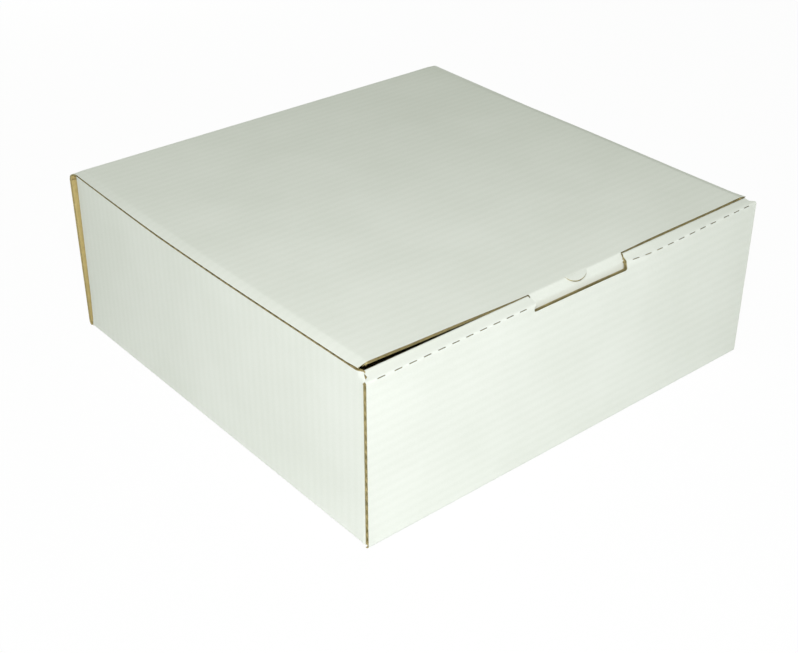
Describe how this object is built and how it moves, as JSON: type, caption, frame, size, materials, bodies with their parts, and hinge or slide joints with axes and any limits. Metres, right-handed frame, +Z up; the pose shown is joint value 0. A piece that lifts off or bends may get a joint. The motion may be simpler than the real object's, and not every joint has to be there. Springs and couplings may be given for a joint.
{
  "type": "cake box",
  "caption": "Square white corrugated cake box folded from one sheet, with a rear-hinged lid, tucked side flaps, a rolled-over front wall and a front tuck tab with thumb lip.",
  "frame": {"origin": "middle of the box's underside", "axes": "+Z up, front with the tuck tab towards -Y, +X to the right seen from the front"},
  "size_m": [0.311, 0.306, 0.113],
  "materials": {
    "board": "matt white liner outside, brown kraft inside and on cut edges",
    "lid_board": "matt white liner outside, brown kraft inside and on cut edges"
  },
  "bodies": {
    "tray": {"tray": "board"},
    "lid": {"lid": "lid_board"}
  },
  "joints": [
    {"name": "lid_hinge", "type": "hinge", "parent": "tray", "child": "lid", "pos_m": [0, 0.153, 0.113], "axis": [-1, 0, 0], "range_deg": [0, 180]}
  ]
}
